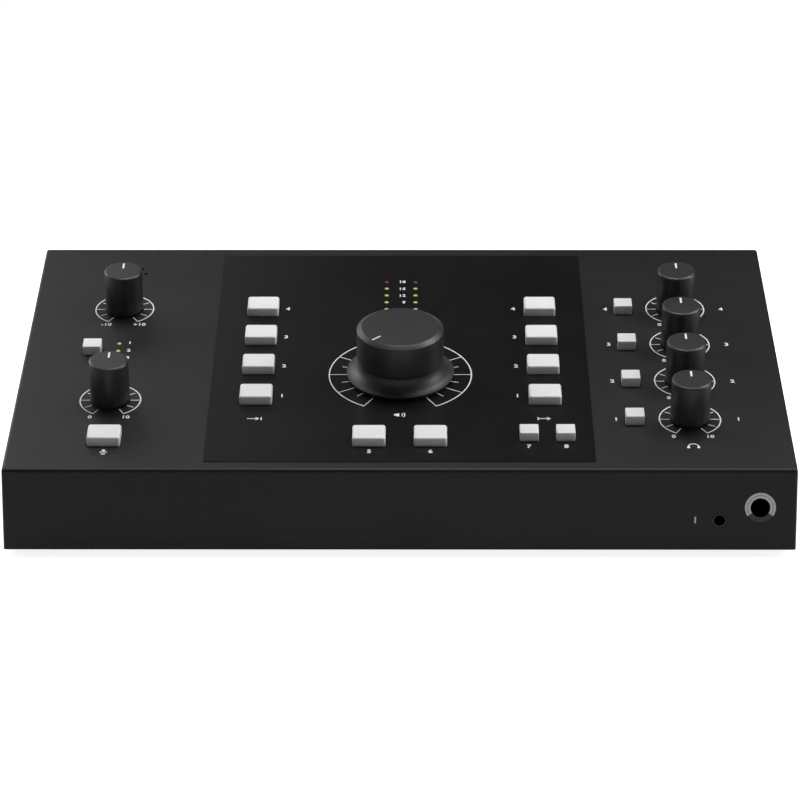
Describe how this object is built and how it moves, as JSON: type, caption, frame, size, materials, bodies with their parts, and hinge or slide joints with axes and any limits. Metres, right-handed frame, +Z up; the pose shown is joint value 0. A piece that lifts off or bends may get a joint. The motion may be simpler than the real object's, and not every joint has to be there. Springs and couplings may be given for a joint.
{
  "type": "studio monitor controller",
  "caption": "Wedge-shaped desktop audio controller with a large dial, small dials, push buttons, meter lamps and sockets.",
  "frame": {"origin": "on the surface the feet stand on, under the middle of the case", "axes": "+Z up, +X to the right of a person facing the front, -Y the front face"},
  "size_m": [0.264, 0.1491, 0.0772],
  "materials": {
    "case_black": "powder coat",
    "overlay_black": "satin",
    "knob_black": "matt",
    "surround_black": "satin",
    "cap_white": "satin",
    "lamp_green": "gloss",
    "lamp_red": "gloss",
    "grey_ring": "satin",
    "bright_metal": "zinc plated",
    "black_plastic": "matt",
    "board_green": "solder mask",
    "ribbon_grey": "matt",
    "rubber": "matt"
  },
  "bodies": {
    "root": {"audio_board": "board_green", "audio_board_posts": "bright_metal", "base_plate": "case_black", "board_screws": "bright_metal", "case_screws": "bright_metal", "centre_overlay": "overlay_black", "control_board": "board_green", "control_board_posts": "bright_metal", "corner_blocks": "bright_metal", "foot_screws": "bright_metal", "green_meter_lamps": "lamp_green", "headphone_socket": "black_plastic", "headphone_socket_ring": "grey_ring", "knob_surround": "surround_black", "large_switch_bodies": "black_plastic", "main_pot_body": "bright_metal", "optical_socket": "black_plastic", "phono_sockets": "black_plastic", "pot_nuts": "bright_metal", "power_inlet": "black_plastic", "power_switch_body": "black_plastic", "rear_panel": "case_black", "rear_socket_nuts": "bright_metal", "rear_sockets": "black_plastic", "red_meter_lamps": "lamp_red", "ribbon_cable": "ribbon_grey", "rubber_feet": "rubber", "select_lamps": "lamp_green", "small_headphone_socket": "black_plastic", "small_pot_bodies": "bright_metal", "small_switch_bodies": "black_plastic", "talk_microphone": "black_plastic", "top_cover": "case_black"},
    "main_knob": {"main_knob": "knob_black", "main_shaft": "bright_metal"},
    "trim_knob": {"trim_knob": "knob_black"},
    "talkback_knob": {"talkback_knob": "knob_black"},
    "headphone_knob_1": {"headphone_knob_1": "knob_black"},
    "headphone_knob_2": {"headphone_knob_2": "knob_black"},
    "headphone_knob_3": {"headphone_knob_3": "knob_black"},
    "headphone_knob_4": {"headphone_knob_4": "knob_black"},
    "dim_button": {"dim_button": "cap_white"},
    "cut_button": {"cut_button": "cap_white"},
    "talk_button": {"talk_button": "cap_white"},
    "input_button_1": {"input_button_1": "cap_white"},
    "output_button_1": {"output_button_1": "cap_white"},
    "input_button_2": {"input_button_2": "cap_white"},
    "output_button_2": {"output_button_2": "cap_white"},
    "input_button_3": {"input_button_3": "cap_white"},
    "output_button_3": {"output_button_3": "cap_white"},
    "input_button_4": {"input_button_4": "cap_white"},
    "output_button_4": {"output_button_4": "cap_white"},
    "polarity_button": {"polarity_button": "cap_white"},
    "mono_button": {"mono_button": "cap_white"},
    "select_button": {"select_button": "cap_white"},
    "source_button_1": {"source_button_1": "cap_white"},
    "source_button_2": {"source_button_2": "cap_white"},
    "source_button_3": {"source_button_3": "cap_white"},
    "source_button_4": {"source_button_4": "cap_white"},
    "power_button": {"power_button": "black_plastic"}
  },
  "joints": [
    {"name": "main_knob_turn", "type": "hinge", "parent": "root", "child": "main_knob", "pos_m": [0, -0.01452, 0.0473], "axis": [0, 0.2756, -0.9613], "range_deg": [-16, 284]},
    {"name": "trim_knob_turn", "type": "hinge", "parent": "root", "child": "trim_knob", "pos_m": [-0.09935, 0.03066, 0.06026], "axis": [0, 0.2756, -0.9613], "range_deg": [-150, 150]},
    {"name": "talkback_knob_turn", "type": "hinge", "parent": "root", "child": "talkback_knob", "pos_m": [-0.09935, -0.03105, 0.04256], "axis": [0, 0.2756, -0.9613], "range_deg": [-150, 150]},
    {"name": "headphone_knob_1_turn", "type": "hinge", "parent": "root", "child": "headphone_knob_1", "pos_m": [0.0984, -0.04316, 0.03909], "axis": [0, 0.2756, -0.9613], "range_deg": [-150, 150]},
    {"name": "headphone_knob_2_turn", "type": "hinge", "parent": "root", "child": "headphone_knob_2", "pos_m": [0.0984, -0.0185, 0.04616], "axis": [0, 0.2756, -0.9613], "range_deg": [-150, 150]},
    {"name": "headphone_knob_3_turn", "type": "hinge", "parent": "root", "child": "headphone_knob_3", "pos_m": [0.0984, 0.00617, 0.05323], "axis": [0, 0.2756, -0.9613], "range_deg": [-150, 150]},
    {"name": "headphone_knob_4_turn", "type": "hinge", "parent": "root", "child": "headphone_knob_4", "pos_m": [0.0984, 0.03084, 0.0603], "axis": [0, 0.2756, -0.9613], "range_deg": [-150, 150]},
    {"name": "dim_button_press", "type": "slide", "parent": "root", "child": "dim_button", "axis": [0, 0.2756, -0.9613], "range_m": [0, 0.0012], "stiffness_N_per_m": 300, "springref_m": -0.002},
    {"name": "cut_button_press", "type": "slide", "parent": "root", "child": "cut_button", "axis": [0, 0.2756, -0.9613], "range_m": [0, 0.0012], "stiffness_N_per_m": 300, "springref_m": -0.002},
    {"name": "talk_button_press", "type": "slide", "parent": "root", "child": "talk_button", "axis": [0, 0.2756, -0.9613], "range_m": [0, 0.0012], "stiffness_N_per_m": 300, "springref_m": -0.002},
    {"name": "input_button_1_press", "type": "slide", "parent": "root", "child": "input_button_1", "axis": [0, 0.2756, -0.9613], "range_m": [0, 0.0012], "stiffness_N_per_m": 300, "springref_m": -0.002},
    {"name": "output_button_1_press", "type": "slide", "parent": "root", "child": "output_button_1", "axis": [0, 0.2756, -0.9613], "range_m": [0, 0.0012], "stiffness_N_per_m": 300, "springref_m": -0.002},
    {"name": "input_button_2_press", "type": "slide", "parent": "root", "child": "input_button_2", "axis": [0, 0.2756, -0.9613], "range_m": [0, 0.0012], "stiffness_N_per_m": 300, "springref_m": -0.002},
    {"name": "output_button_2_press", "type": "slide", "parent": "root", "child": "output_button_2", "axis": [0, 0.2756, -0.9613], "range_m": [0, 0.0012], "stiffness_N_per_m": 300, "springref_m": -0.002},
    {"name": "input_button_3_press", "type": "slide", "parent": "root", "child": "input_button_3", "axis": [0, 0.2756, -0.9613], "range_m": [0, 0.0012], "stiffness_N_per_m": 300, "springref_m": -0.002},
    {"name": "output_button_3_press", "type": "slide", "parent": "root", "child": "output_button_3", "axis": [0, 0.2756, -0.9613], "range_m": [0, 0.0012], "stiffness_N_per_m": 300, "springref_m": -0.002},
    {"name": "input_button_4_press", "type": "slide", "parent": "root", "child": "input_button_4", "axis": [0, 0.2756, -0.9613], "range_m": [0, 0.0012], "stiffness_N_per_m": 300, "springref_m": -0.002},
    {"name": "output_button_4_press", "type": "slide", "parent": "root", "child": "output_button_4", "axis": [0, 0.2756, -0.9613], "range_m": [0, 0.0012], "stiffness_N_per_m": 300, "springref_m": -0.002},
    {"name": "polarity_button_press", "type": "slide", "parent": "root", "child": "polarity_button", "axis": [0, 0.2756, -0.9613], "range_m": [0, 0.0012], "stiffness_N_per_m": 300, "springref_m": -0.002},
    {"name": "mono_button_press", "type": "slide", "parent": "root", "child": "mono_button", "axis": [0, 0.2756, -0.9613], "range_m": [0, 0.0012], "stiffness_N_per_m": 300, "springref_m": -0.002},
    {"name": "select_button_press", "type": "slide", "parent": "root", "child": "select_button", "axis": [0, 0.2756, -0.9613], "range_m": [0, 0.0012], "stiffness_N_per_m": 300, "springref_m": -0.002},
    {"name": "source_button_1_press", "type": "slide", "parent": "root", "child": "source_button_1", "axis": [0, 0.2756, -0.9613], "range_m": [0, 0.0012], "stiffness_N_per_m": 300, "springref_m": -0.002},
    {"name": "source_button_2_press", "type": "slide", "parent": "root", "child": "source_button_2", "axis": [0, 0.2756, -0.9613], "range_m": [0, 0.0012], "stiffness_N_per_m": 300, "springref_m": -0.002},
    {"name": "source_button_3_press", "type": "slide", "parent": "root", "child": "source_button_3", "axis": [0, 0.2756, -0.9613], "range_m": [0, 0.0012], "stiffness_N_per_m": 300, "springref_m": -0.002},
    {"name": "source_button_4_press", "type": "slide", "parent": "root", "child": "source_button_4", "axis": [0, 0.2756, -0.9613], "range_m": [0, 0.0012], "stiffness_N_per_m": 300, "springref_m": -0.002},
    {"name": "power_button_press", "type": "slide", "parent": "root", "child": "power_button", "axis": [0, -1, 0], "range_m": [0, 0.0024], "stiffness_N_per_m": 300, "springref_m": -0.002}
  ]
}
